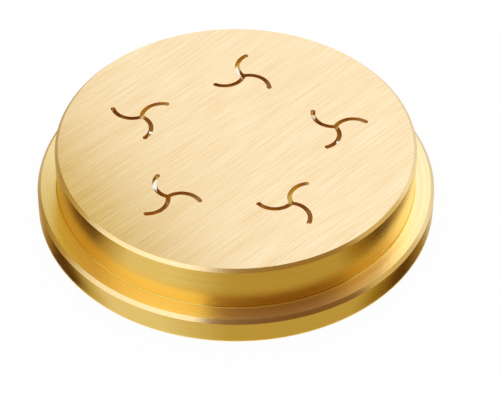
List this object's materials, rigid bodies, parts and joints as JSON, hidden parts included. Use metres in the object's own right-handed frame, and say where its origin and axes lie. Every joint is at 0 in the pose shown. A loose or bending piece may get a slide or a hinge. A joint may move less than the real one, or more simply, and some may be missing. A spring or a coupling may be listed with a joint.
{
  "type": "pasta extrusion die",
  "caption": "Round brass extrusion die with a flange, a brushed outlet face with curved pinwheel slots for twisted pasta, and feed bores in its back.",
  "frame": {"origin": "centre of the back face, on the die's axis", "axes": "+Z along the die's axis from the back face to the outlet face, which is the way the dough leaves; +X to the right and +Y away from the viewer in the reference view"},
  "size_m": [0.0632, 0.0632, 0.012],
  "materials": {
    "brass": "turned, with a linear brushed outlet face"
  },
  "bodies": {
    "root": {"die": "brass"}
  },
  "joints": []
}
